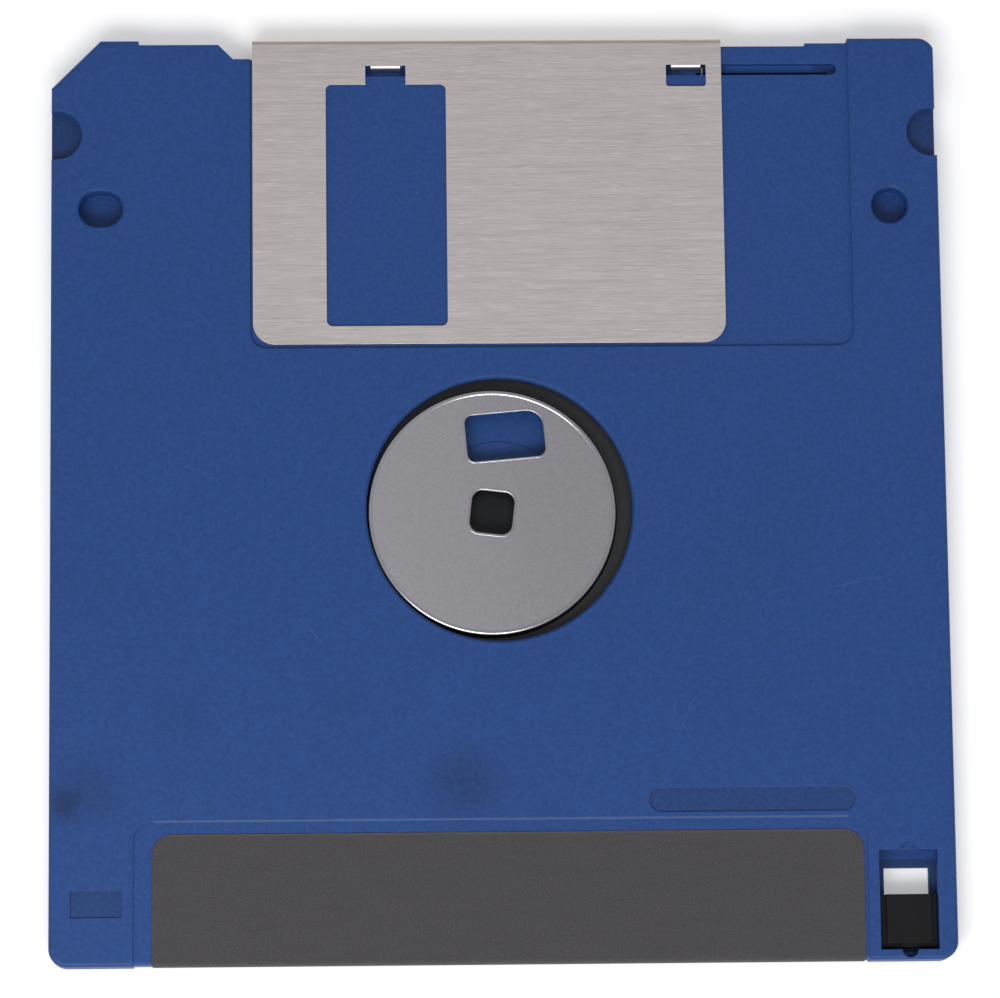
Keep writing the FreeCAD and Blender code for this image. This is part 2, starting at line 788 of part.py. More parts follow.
def make_wear_button():
    """Return the black plastic disc that the tip of the drive spindle runs on."""
    level = button_level()
    return disc(0, opening_y, button_diameter / 2, level, level + button_thickness)


def make_write_protect_slider():
    """Return the slider at the end of its travel that leaves the hole open."""
    low = floor_level + slider_play
    shoulder = low + slider_flange_height
    bottom = slider_bottom
    top = slider_bottom + slider_length
    half_slot = protect_slot_width / 2 - slider_play
    flange = box(well_left + slider_play, well_right - slider_play, bottom, top, low, shoulder)
    face = case_thickness - slider_sunk
    body = box(protect_x - half_slot, protect_x + half_slot, bottom, top, shoulder, face - grip_height)
    half_grip = half_slot - grip_side_inset
    grip = box(protect_x - half_grip, protect_x + half_grip, bottom + grip_end_inset, top, shoulder, face)
    return flange.fuse([body, grip]).removeSplitter()


def make_label():
    """Return the paper label, folded round the bottom edge of the case."""
    outside = plain_block(label_recess_depth - paper)
    left = label_recess_left + label_side_gap_left
    right = label_recess_right - label_side_gap_right
    high = box(-case_width, case_width, -case_length, case_length, split, case_thickness)
    low = box(-case_width, case_width, -case_length, case_length, 0.0, split)
    back_plan = rounded_box(left, right, -half_length - margin, label_recess_top - label_top_gap,
                            -margin, case_thickness + margin, label_corner)
    front_plan = rounded_box(left, right, -half_length - margin, front_label_top,
                             -margin, case_thickness + margin, label_corner)
    skin = outside.cut(plain_block(label_recess_depth))
    return skin.common(back_plan.common(high)).fuse(skin.common(front_plan.common(low))).removeSplitter()


def main():
    """Make every piece and write it to its own file."""
    os.makedirs("parts", exist_ok=True)
    pieces = {
        "front_shell": make_front_shell(),
        "back_shell": make_back_shell(),
        "shutter": make_shutter(),
        "shutter_spring": make_shutter_spring(),
        "magnetic_disk": make_magnetic_disk(),
        "hub_adhesive_ring": make_hub_adhesive_ring(),
        "hub": make_hub(),
        "front_liner": make_liner(floor_level),
        "back_liner": make_liner(ceiling_level - liner),
        "liner_lifter": make_lifter(),
        "wear_button": make_wear_button(),
        "write_protect_slider": make_write_protect_slider(),
        "label": make_label(),
    }
    for name, piece in pieces.items():
        print(name, piece.ShapeType, len(piece.Solids), piece.isValid(), round(piece.Volume, 3))
        piece.exportStep("parts/" + name + ".step")


main()
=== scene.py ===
"""Dress a packed 90 mm floppy disk, lying on its label side with the metal hub up.

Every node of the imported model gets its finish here. The hub and the spring are built again
with finer curves. Lengths are in metres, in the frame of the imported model: +X to the right,
+Y to the shutter end, +Z out of the hub side. A size in millimetres is written times MM.
"""

from __future__ import annotations

import json
import logging
import math
from dataclasses import dataclass
from enum import Enum
from typing import Iterable, Mapping, Sequence, Union

import bmesh
import bpy
from mathutils import Matrix, Vector

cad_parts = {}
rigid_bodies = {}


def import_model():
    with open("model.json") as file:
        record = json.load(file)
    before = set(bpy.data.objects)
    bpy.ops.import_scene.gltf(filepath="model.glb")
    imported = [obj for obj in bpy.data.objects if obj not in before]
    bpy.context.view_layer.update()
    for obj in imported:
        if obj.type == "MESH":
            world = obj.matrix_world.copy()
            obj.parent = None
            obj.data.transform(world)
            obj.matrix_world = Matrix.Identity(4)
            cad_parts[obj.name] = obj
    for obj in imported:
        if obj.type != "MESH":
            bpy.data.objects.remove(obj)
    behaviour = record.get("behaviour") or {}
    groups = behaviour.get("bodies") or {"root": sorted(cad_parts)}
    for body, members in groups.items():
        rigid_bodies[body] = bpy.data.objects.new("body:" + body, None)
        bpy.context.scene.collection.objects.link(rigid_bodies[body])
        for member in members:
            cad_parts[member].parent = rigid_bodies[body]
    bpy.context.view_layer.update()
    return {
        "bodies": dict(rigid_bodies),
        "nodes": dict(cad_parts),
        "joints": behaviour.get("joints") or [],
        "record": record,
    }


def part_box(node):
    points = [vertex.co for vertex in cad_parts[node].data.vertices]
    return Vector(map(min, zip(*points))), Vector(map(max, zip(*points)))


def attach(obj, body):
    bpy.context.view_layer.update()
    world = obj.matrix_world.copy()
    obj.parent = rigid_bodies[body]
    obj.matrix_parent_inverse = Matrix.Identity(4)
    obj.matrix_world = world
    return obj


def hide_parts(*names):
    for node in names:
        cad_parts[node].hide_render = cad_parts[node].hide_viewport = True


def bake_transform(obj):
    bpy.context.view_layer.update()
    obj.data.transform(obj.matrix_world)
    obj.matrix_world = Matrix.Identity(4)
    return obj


LOG = logging.getLogger("floppy_disk")
MM = 0.001

# Blur of a speck's edge, and the share of the drawn specks that are at full strength
SPECK_BLUR = 0.4
FULL_SPECKS = 0.8

# Steps of the rounded edges, in the finishes and in the meshes
EDGE_SAMPLES = 6
CORNER_STEPS = 8
BEVEL_STEPS = 3

Colour = tuple[float, float, float]
Point = tuple[float, float]
Band = tuple[float, float, float, float]


class Socket:
    """One output of a shader node, on which Python's operators add Math nodes."""

    def __init__(self, shader: "Shader", link: bpy.types.NodeSocket) -> None:
        """Keep the output and the shader that it belongs to."""
        self.shader = shader
        self.link = link

    def _combine(self, operation: str, first: "Operand", second: "Operand") -> "Socket":
        """Add a node that works on two operands.

        Args:
            operation: Name of the Math or Vector Math operation.
            first: Left operand.
            second: Right operand.

        Returns:
            The result; a vector if either operand is a vector or a colour.
        """
        wide = any(is_wide(value) for value in (first, second))
        kind = "ShaderNodeVectorMath" if wide else "ShaderNodeMath"
        return self.shader.node(kind, {"operation": operation}, {0: first, 1: second})

    def __add__(self, other: "Operand") -> "Socket":
        """Return self + other."""
        return self._combine("ADD", self, other)

    def __radd__(self, other: "Operand") -> "Socket":
        """Return other + self."""
        return self._combine("ADD", other, self)

    def __sub__(self, other: "Operand") -> "Socket":
        """Return self - other."""
        return self._combine("SUBTRACT", self, other)

    def __rsub__(self, other: "Operand") -> "Socket":
        """Return other - self."""
        return self._combine("SUBTRACT", other, self)

    def __mul__(self, other: "Operand") -> "Socket":
        """Return self * other."""
        return self._combine("MULTIPLY", self, other)

    def __rmul__(self, other: "Operand") -> "Socket":
        """Return other * self."""
        return self._combine("MULTIPLY", other, self)

    def __truediv__(self, other: "Operand") -> "Socket":
        """Return self / other."""
        return self._combine("DIVIDE", self, other)

    def peak(self, other: "Operand") -> "Socket":
        """Return the larger of self and other."""
        return self._combine("MAXIMUM", self, other)

    def wave(self) -> "Socket":
        """Return the sine of self, in radians."""
        return self.shader.node("ShaderNodeMath", {"operation": "SINE"}, {0: self})

    def ramp(self, start: float, end: float) -> "Socket":
        """Return a smooth step from 0 where self is start to 1 where it is end."""
        return self.shader.node("ShaderNodeMapRange", {"interpolation_type": "SMOOTHSTEP"},
                                {0: self, 1: start, 2: end, 3: 0.0, 4: 1.0})

    def band(self, start: float, low: float, high: float, end: float) -> "Socket":
        """Return 1 where self is between low and high, and 0 below start and above end."""
        return self.ramp(end, high) * self.ramp(start, low)


Operand = Union[Socket, float, Colour]


def is_wide(value: Operand) -> bool:
    """Look at the kind of an operand.

    Args:
        value: The operand.

    Returns:
        Whether it is a vector or a colour.
    """
    if isinstance(value, Socket):
        return value.link.type in ("VECTOR", "RGBA")
    return isinstance(value, tuple)


@dataclass(frozen=True)
class Pattern:
    """Soft noise, and how its mask is made.

    Attributes:
        scale: Features a millimetre.
        detail: Number of finer layers.
        roughness: Strength of the finer layers.
        fade: Noise at which the mask is 0, and at which it is full.
        share: Value of the full mask.
        stretch: Extra scale along X, Y and Z, or None.
    """

    scale: float
    detail: float
    roughness: float = 0.5
    fade: Point = (0.4, 0.7)
    share: float = 1.0
    stretch: tuple[float, float, float] | None = None


@dataclass(frozen=True)
class Specks:
    """Small round specks. Lengths are in millimetres.

    Attributes:
        spacing: Mean distance between cells.
        radius: Radius of a speck.
        share: Share of the cells that hold a speck.
    """

    spacing: float
    radius: float
    share: float


class Shader:
    """One material and the nodes that make it."""

    def __init__(self, name: str) -> None:
        """Make an empty material with an output node.

        Args:
            name: Name of the material.
        """
        self.material = bpy.data.materials.new(name)
        self.material.use_nodes = True
        self.tree = self.material.node_tree
        self.tree.nodes.clear()
        self.output = self.tree.nodes.new("ShaderNodeOutputMaterial")

    def _feed(self, socket: bpy.types.NodeSocket, value: Operand) -> None:
        """Link a socket, or set its own value.

        Args:
            socket: Input of a node.
            value: What goes into it.
        """
        if isinstance(value, Socket):
            self.tree.links.new(value.link, socket)
        elif socket.type == "RGBA":
            socket.default_value = (*value, 1.0)
        elif socket.type == "VECTOR" and not isinstance(value, tuple):
            socket.default_value = (value, value, value)
        else:
            socket.default_value = value

    def node(self, kind: str, settings: Mapping[str, object] | None = None,
             inputs: Mapping[Union[str, int], Operand] | None = None,
             output: Union[str, int] = 0) -> Socket:
        """Add any node.

        Args:
            kind: Type name of the node.
            settings: Properties of the node, set before its sockets.
            inputs: Values or links of its sockets, by name or number.
            output: Which output is wanted.

        Returns:
            The chosen output.
        """
        node = self.tree.nodes.new(kind)
        for name, value in (settings or {}).items():
            setattr(node, name, value)
        for key, value in (inputs or {}).items():
            self._feed(node.inputs[key], value)
        return Socket(self, node.outputs[output])

    def place(self) -> Socket:
        """Return the place on the object, in millimetres of its frame."""
        return self.node("ShaderNodeTexCoord", output="Object") * (1 / MM)

    def axes(self, vector: Socket) -> tuple[Socket, Socket, Socket]:
        """Split a vector.

        Args:
            vector: The vector.

        Returns:
            Its X, Y and Z.
        """
        first = self.node("ShaderNodeSeparateXYZ", inputs={0: vector})
        outputs = first.link.node.outputs
        return Socket(self, outputs[0]), Socket(self, outputs[1]), Socket(self, outputs[2])

    def noise(self, vector: Socket, pattern: Pattern) -> Socket:
        """Add soft noise.

        Args:
            vector: Place, in millimetres.
            pattern: Which noise.

        Returns:
            The plain noise, about 0.5 on average.
        """
        if pattern.stretch is not None:
            vector = vector * pattern.stretch
        return self.node("ShaderNodeTexNoise", inputs={
            "Vector": vector, "Scale": pattern.scale, "Detail": pattern.detail,
            "Roughness": pattern.roughness})

    def mask(self, noise: Socket, pattern: Pattern) -> Socket:
        """Return the mask that a pattern makes of its noise."""
        return noise.ramp(*pattern.fade) * pattern.share

    def specks(self, vector: Socket, specks: Specks) -> Socket:
        """Add a mask of small round specks.

        Args:
            vector: Place, in millimetres.
            specks: Their size and number.

        Returns:
            1 on a speck and 0 elsewhere.
        """
        inputs = {"Vector": vector, "Scale": 1 / specks.spacing}
        distance = self.node("ShaderNodeTexVoronoi", inputs=inputs)
        chance = self.axes(Socket(self, distance.link.node.outputs["Color"]))[0]
        edge = specks.radius / specks.spacing
        near = distance.ramp((1 + SPECK_BLUR) * edge, (1 - SPECK_BLUR) * edge)
        return near * chance.ramp(1 - specks.share, 1 - FULL_SPECKS * specks.share)

    def distance(self, vector: Socket, centre: Sequence[float]) -> Socket:
        """Measure from an upright axis.

        Args:
            vector: Place, in millimetres.
            centre: X and Y of the axis.

        Returns:
            The distance across X and Y only.
        """
        flat = vector * (1.0, 1.0, 0.0)
        away = flat - (float(centre[0]), float(centre[1]), 0.0)
        return self.node("ShaderNodeVectorMath", {"operation": "LENGTH"}, {0: away}, "Value")

    def line(self, vector: Socket, start: Point, end: Point, width: float) -> Socket:
        """Add a mask of a thin straight line across X and Y.

        Args:
            vector: Place, in millimetres.
            start: One end of the line.
            end: Other end of the line.
            width: Distance at which the line has faded out.

        Returns:
            1 on the line and 0 away from it.
        """
        run = (end[0] - start[0], end[1] - start[1], 0.0)
        square = run[0] ** 2 + run[1] ** 2
        away = vector * (1.0, 1.0, 0.0) - (start[0], start[1], 0.0)
        share = self.node("ShaderNodeVectorMath", {"operation": "DOT_PRODUCT"}, {0: away, 1: run}, "Value")
        inside = self.node("ShaderNodeClamp", inputs={"Value": share / square, "Min": 0.0, "Max": 1.0})
        foot = self.node("ShaderNodeVectorMath", {"operation": "SCALE"}, {0: run, "Scale": inside})
        length = self.node("ShaderNodeVectorMath", {"operation": "LENGTH"}, {0: away - foot}, "Value")
        return length.ramp(width, 0.0)

    def mix(self, share: Operand, first: Operand, second: Operand) -> Socket:
        """Return a blend of two colours, the second where share is 1."""
        return self.node("ShaderNodeMix", {"data_type": "RGBA"}, {0: share, 6: first, 7: second}, 2)

    def soft_edges(self, radius: float) -> Socket:
        """Return normals that round the sharp edges by a radius in millimetres."""
        return self.node("ShaderNodeBevel", {"samples": EDGE_SAMPLES}, {"Radius": radius * MM})

    def bump(self, height: Socket, depth: float, normal: Socket | None = None) -> Socket:
        """Add a fine relief.

        Args:
            height: Relief, from 0 to 1.
            depth: Its depth in millimetres.
            normal: Normals that it is laid on, or None for the plain ones.

        Returns:
            The normals of the relief.
        """
        inputs: dict[Union[str, int], Operand] = {"Height": height, "Distance": depth * MM, "Strength": 1.0}
        if normal is not None:
            inputs["Normal"] = normal
        return self.node("ShaderNodeBump", inputs=inputs)

    def surface(self, colour: Operand, roughness: Operand, normal: Socket | None,
                others: Mapping[str, Operand]) -> bpy.types.Material:
        """Finish the material with one surface node.

        Args:
            colour: Its base colour.
            roughness: Its roughness.
            normal: Its normals, or None for the plain ones.
            others: Values or links of its other sockets, by name.

        Returns:
            The material.
        """
        inputs = {"Base Color": colour, "Roughness": roughness, **others}
        if normal is not None:
            inputs["Normal"] = normal
        surface = self.node("ShaderNodeBsdfPrincipled", inputs=inputs)
        self.tree.links.new(surface.link, self.output.inputs["Surface"])
        return self.material


@dataclass(frozen=True)
class CasePlastic:
    """Spark-eroded blue plastic with a fine grain, dust and hair scratches, and painted light and shade.

    Lengths are in millimetres. Painted shade darkens patches where sink marks dip and the floors of
    the recesses; painted light lifts the groove's floor and draws a line along the label recess's top
    edge. A painted shade patch is its X, Y, radius and strength. A level holds the heights where a
    mask starts, is full, is full to, and ends.
    """

    colour: Colour = (0.0108, 0.0590, 0.240)
    dark: Colour = (0.0042, 0.0280, 0.118)
    # Lighter colour painted on the groove's floor as painted light
    painted_groove_light: Colour = (0.0165, 0.083, 0.325)
    # Colour of dust specks and hair scratches, and of the painted highlight on the label recess's edge
    dust: Colour = (0.16, 0.21, 0.33)
    roughness: float = 0.46
    roughness_change: float = 0.08
    specular: float = 0.36
    grain: Pattern = Pattern(scale=2.6, detail=4.0, roughness=0.72, fade=(0.66, 0.34), share=0.44)
    grain_depth: float = 0.022
    cloud: Pattern = Pattern(scale=0.055, detail=2.0, fade=(0.5, 0.8), share=0.08)
    gloss: Pattern = Pattern(scale=0.5, detail=2.0)
    edge_radius: float = 0.13
    # Painted shade: darker patches where the surface dips at sink marks, as X, Y, radius and strength
    painted_shade_patches: tuple[tuple[float, float, float, float], ...] = (
        (-3.8, -29.0, 5.4, 0.56),
        (-41.3, -29.6, 5.2, 0.36),
        (-43.5, -30.9, 2.6, 0.70),
        (-32.0, -22.2, 4.2, 0.16),
        (-16.3, -21.2, 3.4, 0.14),
    )
    specks: Specks = Specks(spacing=2.6, radius=0.055, share=0.16)
    dust_strength: float = 0.8
    scratches: tuple[tuple[Point, Point], ...] = (
        ((31.0, 44.6), (34.9, 43.2)),
        ((-31.5, 3.0), (-28.6, 1.9)),
        ((17.5, -24.6), (19.1, -20.9)),
        ((33.8, -9.6), (38.2, -8.7)),
        ((-20.2, -12.5), (-17.9, -14.9)),
    )
    scratch_width: float = 0.07
    scratch_strength: float = 0.22
    # Painted highlight: a light line along the top edge of the label's recess
    label_edge_highlight: tuple[Point, Point] = ((-34.5, -32.72), (34.2, -32.72))
    highlight_width: float = 0.17
    worn_strength: float = 0.4
    # Where the groove's floor gets painted light
    groove: tuple[Point, Point] = ((20.0, 43.78), (32.0, 43.78))
    groove_reach: float = 1.2
    groove_light_fade: Point = (0.1, 0.5)
    groove_level: Band = (1.8, 1.95, 2.05, 2.2)
    # Painted shade on the recess floors: the two marks, the edge notches and the slider's well
    mark_level: Band = (3.05, 3.1, 3.18, 3.21)
    mark_shade: float = 0.42
    above_label: float = -32.5
    left_of_label: float = -37.2
    notch_centre: Point = (44.4, 37.14)
    notch_reach: float = 2.7
    notch_floor: float = 2.45
    notch_shade: float = 0.72
    cutter_reach: Point = (2.2, 0.8)
    cutter_pitch: float = 0.38
    cutter_strength: float = 0.35
    well_corner: Point = (37.0, -36.8)
    well_floor: float = 1.5
    well_shade: float = 0.8
    fade: float = 0.1

    def material(self) -> bpy.types.Material:
        """Make the finish of the two shells.

        Returns:
            The material.
        """
        shader = Shader("case_plastic")
        place = shader.place()
        grain = shader.noise(place, self.grain)
        shade = shader.mask(grain, self.grain) + shader.mask(shader.noise(place, self.cloud), self.cloud)
        # Painted shade: darker patches where sink marks dip
        for x, y, radius, strength in self.painted_shade_patches:
            shade = shade + shader.distance(place, (x, y)).ramp(radius, 0.0) * strength
        # Painted shade: darker floors in the marks, the edge notches and the slider's well
        shade = shade + self._painted_floor_shade(shader, place)
        colour = shader.mix(shade, self.colour, self.dark)
        # Painted light: the groove's shaded floor gets a lighter colour
        colour = shader.mix(self._painted_groove_light_mask(shader, place), colour, self.painted_groove_light)
        dust = shader.specks(place, self.specks)
        for start, end in self.scratches:
            dust = dust.peak(shader.line(place, start, end, self.scratch_width) * self.scratch_strength)
        # Painted highlight along the label recess's top edge, mixed in with the dust colour
        worn = shader.line(place, *self.label_edge_highlight, self.highlight_width) * self.worn_strength
        colour = shader.mix(dust.peak(worn) * self.dust_strength, colour, self.dust)
        height = grain + self._cutter_rings(shader, place) * self.cutter_strength
        normal = shader.bump(height, self.grain_depth, shader.soft_edges(self.edge_radius))
        roughness = self.roughness + shader.noise(place, self.gloss) * self.roughness_change
        return shader.surface(colour, roughness, normal, {"Specular IOR Level": self.specular})

    def _notch(self, shader: Shader, place: Socket) -> tuple[Socket, Socket]:
        """Find the floors of the two edge notches, which mirror each other.

        Args:
            shader: Material in the making.
            place: Place on the shell.

        Returns:
            The distance from the middle of a notch, and a mask of its floor.
        """
        x, y, z = shader.axes(place)
        side = shader.node("ShaderNodeMath", {"operation": "ABSOLUTE"}, {0: x})
        folded = shader.node("ShaderNodeCombineXYZ", inputs={0: side, 1: y, 2: z})
        away = shader.distance(folded, self.notch_centre)
        near = away.ramp(self.notch_reach, self.notch_reach - self.fade)
        return away, near * z.ramp(self.notch_floor, self.notch_floor - self.fade)

    def _cutter_rings(self, shader: Shader, place: Socket) -> Socket:
        """Draw the rings that the cutter left on the floors of the edge notches.

        Args:
            shader: Material in the making.
            place: Place on the shell.

        Returns:
            Waves from -1 to 1 on those floors, and 0 elsewhere.
        """
        away, floor = self._notch(shader, place)
        waves = (away * (2 * math.pi / self.cutter_pitch)).wave()
        return waves * away.ramp(*self.cutter_reach) * floor

    def _painted_floor_shade(self, shader: Shader, place: Socket) -> Socket:
        """Paint shade on the floors of the two marks, the notches and the slider's well.

        Args:
            shader: Material in the making.
            place: Place on the shell.

        Returns:
            How much darker they are.
        """
        x, y, z = shader.axes(place)
        above = y.ramp(self.above_label, self.above_label + self.fade)
        beside = x.ramp(self.left_of_label, self.left_of_label - self.fade)
        marks = above.peak(beside) * z.band(*self.mark_level)
        corner_x, corner_y = self.well_corner
        well = x.ramp(corner_x, corner_x + self.fade) * y.ramp(corner_y, corner_y - self.fade)
        well = well * z.ramp(self.well_floor + 2 * self.fade, self.well_floor)
        notches = self._notch(shader, place)[1]
        return marks * self.mark_shade + notches * self.notch_shade + well * self.well_shade

    def _painted_groove_light_mask(self, shader: Shader, place: Socket) -> Socket:
        """Find the floor of the groove, which gets painted light to lift its shade.

        Args:
            shader: Material in the making.
            place: Place on the shell.

        Returns:
            A mask of the floor.
        """
        z = shader.axes(place)[2]
        near = shader.line(place, *self.groove, self.groove_reach).ramp(*self.groove_light_fade)
        return near * z.band(*self.groove_level)


@dataclass(frozen=True)
class BrushedSteel:
    """Thin stainless sheet, brushed along X, with painted glints along some streaks and a painted tan
    reflection along its fold.
    """

    colour: Colour = (0.80, 0.735, 0.735)
    dark: Colour = (0.535, 0.497, 0.490)
    # Tan colour painted along the fold as a painted reflection
    painted_fold_reflection: Colour = (0.46, 0.37, 0.27)
    # Light colour of the painted glints
    glint: Colour = (0.96, 0.91, 0.91)
    roughness: float = 0.34
    streak_roughness: float = 0.12
    cloud_roughness: float = 0.05
    fine: Pattern = Pattern(1.0, 4.0, 0.75, fade=(0.40, 0.60), share=0.42, stretch=(0.32, 10.0, 10.0))
    middle: Pattern = Pattern(1.0, 3.0, 0.7, fade=(0.42, 0.62), share=0.22, stretch=(0.10, 4.5, 4.5))
    coarse: Pattern = Pattern(1.0, 2.0, 0.5, fade=(0.35, 0.7), share=0.08, stretch=(0.07, 1.6, 1.6))
    # Painted highlight: bright glint streaks along the brushing
    painted_glint_streaks: Pattern = Pattern(1.0, 2.0, 0.6, fade=(0.60, 0.74), share=0.75, stretch=(0.45, 9.0, 9.0))
    cloud: Pattern = Pattern(0.11, 3.0, 0.6, fade=(0.5, 0.8), share=0.2)
    streak_depth: float = 0.006
    coarse_depth: float = 0.5
    fold_line: float = 46.35
    fold_width: float = 0.35
    fold_reflection_strength: float = 0.7
    edge_radius: float = 0.05

    def material(self) -> bpy.types.Material:
        """Make the finish of the shutter.

        Returns:
            The material.
        """
        shader = Shader("shutter_steel")
        place = shader.place()
        fine = shader.noise(place, self.fine)
        coarse = shader.noise(place, self.coarse)
        cloud = shader.noise(place, self.cloud)
        middle = shader.noise(place, self.middle)
        shade = shader.mask(fine, self.fine) + shader.mask(middle, self.middle)
        shade = shade + shader.mask(coarse, self.coarse) + shader.mask(cloud, self.cloud)
        colour = shader.mix(shade, self.colour, self.dark)
        # Painted highlight: glints mixed in along some streaks
        colour = shader.mix(shader.mask(shader.noise(place, self.painted_glint_streaks), self.painted_glint_streaks), colour, self.glint)
        y = shader.axes(place)[1]
        # Painted reflection: a tan line along the fold
        fold = y.ramp(self.fold_line, self.fold_line + self.fold_width) * self.fold_reflection_strength
        colour = shader.mix(fold, colour, self.painted_fold_reflection)
        roughness = self.roughness + fine * self.streak_roughness
        roughness = roughness + cloud.ramp(*self.cloud.fade) * self.cloud_roughness
        normal = shader.bump(fine + coarse * self.coarse_depth, self.streak_depth,
                             shader.soft_edges(self.edge_radius))
        return shader.surface(colour, roughness, normal, {"Metallic": 1.0})


@dataclass(frozen=True)
class TurnedSteel:
    """Satin stamped steel with faint turned rings and polished lips, with painted shade on the rim's outer
    rounding and towards +X.

    Lengths are in millimetres.
    """

    colour: Colour = (0.475, 0.465, 0.505)
    dark: Colour = (0.335, 0.328, 0.362)
    # Near-black colour painted on the rim's outer rounding as painted shade
    painted_rim_shade: Colour = (0.060, 0.060, 0.066)
    roughness: float = 0.33
    roughness_change: float = 0.1
    satin: Pattern = Pattern(1.1, 3.0, 0.6, fade=(0.35, 0.75), share=0.12)
    fine: Pattern = Pattern(5.0, 3.0, fade=(0.35, 0.7), share=0.34)
    fine_depth: float = 0.8
    ring_pitch: float = 0.27
    ring_depth: float = 0.0020
    ring_shade: float = 0.27
    ring_patch: Point = (-4.5, 5.5)
    patch_radius: float = 9.5
    # Painted shade: the hub gets darker towards +X over this reach
    side_reach: float = 12.0
    painted_side_shade: float = 0.45
    rim_shade_from: float = 12.34
    rim_shade_fade: float = 0.1
    lip_rise: Point = (0.004, 0.02)
    lip_polish: float = 0.16

    def material(self, centre: Point, plate_level: float) -> bpy.types.Material:
        """Make the finish of the hub.

        Args:
            centre: Middle of the hub, in millimetres.
            plate_level: Height of its plate, in millimetres.

        Returns:
            The material.
        """
        shader = Shader("hub_steel")
        place = shader.place()
        away = shader.distance(place, centre)
        patch_centre = (centre[0] + self.ring_patch[0], centre[1] + self.ring_patch[1])
        patch = shader.distance(place, patch_centre).ramp(self.patch_radius, 0.0)
        rings = (away * (2 * math.pi / self.ring_pitch)).wave() * patch
        satin = shader.noise(place, self.satin)
        fine = shader.noise(place, self.fine)
        x, _, z = shader.axes(place)
        # Painted shade, darker towards +X, away from the lamp
        side = x.ramp(centre[0] - self.side_reach, centre[0] + self.side_reach)
        shade = shader.mask(satin, self.satin) + rings * self.ring_shade + shader.mask(fine, self.fine)
        colour = shader.mix(shade + side * self.painted_side_shade, self.colour, self.dark)
        # Painted shade: the outer rounding of the rim is painted near black
        colour = shader.mix(away.ramp(self.rim_shade_from, self.rim_shade_from + self.rim_shade_fade), colour, self.painted_rim_shade)
        normal = shader.bump(rings + fine * self.fine_depth, self.ring_depth)
        polished = z.ramp(plate_level + self.lip_rise[0], plate_level + self.lip_rise[1])
        roughness = self.roughness + satin * self.roughness_change - polished * self.lip_polish
        return shader.surface(colour, roughness, normal, {"Metallic": 1.0})


@dataclass(frozen=True)
class PlainSteel:
    """Drawn spring wire with faint die marks, its colours darkened as painted shade."""

    # Both colours are darkened below bright steel as painted shade, so the spring shows dim in its shadowed
    # groove
    colour: Colour = (0.26, 0.26, 0.27)
    dark: Colour = (0.16, 0.155, 0.155)
    roughness: float = 0.38
    roughness_change: float = 0.15
    marks: Pattern = Pattern(6.0, 3.0, fade=(0.35, 0.8))
    mark_depth: float = 0.004

    def material(self) -> bpy.types.Material:
        """Make the finish of the spring.

        Returns:
            The material.
        """
        shader = Shader("spring_steel")
        marks = shader.noise(shader.place(), self.marks)
        colour = shader.mix(marks.ramp(*self.marks.fade), self.colour, self.dark)
        roughness = self.roughness + marks * self.roughness_change
        normal = shader.bump(marks, self.mark_depth)
        return shader.surface(colour, roughness, normal, {"Metallic": 1.0})


@dataclass(frozen=True)
class CoatedFilm:
    """Dark magnetic coating with a satin gloss and very fine rings from its use."""

    colour: Colour = (0.0135, 0.0145, 0.0165)
    worn: Colour = (0.0215, 0.0225, 0.0250)
    roughness: float = 0.36
    roughness_change: float = 0.1
    specular: float = 0.4
    rings: Pattern = Pattern(2.4, 2.0, fade=(0.4, 0.7), share=0.5)
    ring_depth: float = 0.001
    mottle: Pattern = Pattern(1.1, 3.0, fade=(0.45, 0.75), share=0.3)

    def material(self, centre: Point) -> bpy.types.Material:
        """Make the finish of the film.

        Args:
            centre: Middle of its rings, in millimetres.

        Returns:
            The material.
        """
        shader = Shader("coated_film")
        place = shader.place()
        away = shader.distance(place, centre)
        rings = shader.noise(place * (0.0, 0.0, 1.0) + away, self.rings)
        mottle = shader.noise(place, self.mottle)
        shade = shader.mask(rings, self.rings) + shader.mask(mottle, self.mottle)
        colour = shader.mix(shade, self.colour, self.worn)
        roughness = self.roughness + mottle * self.roughness_change
        normal = shader.bump(rings, self.ring_depth)
        return shader.surface(colour, roughness, normal, {"Specular IOR Level": self.specular})


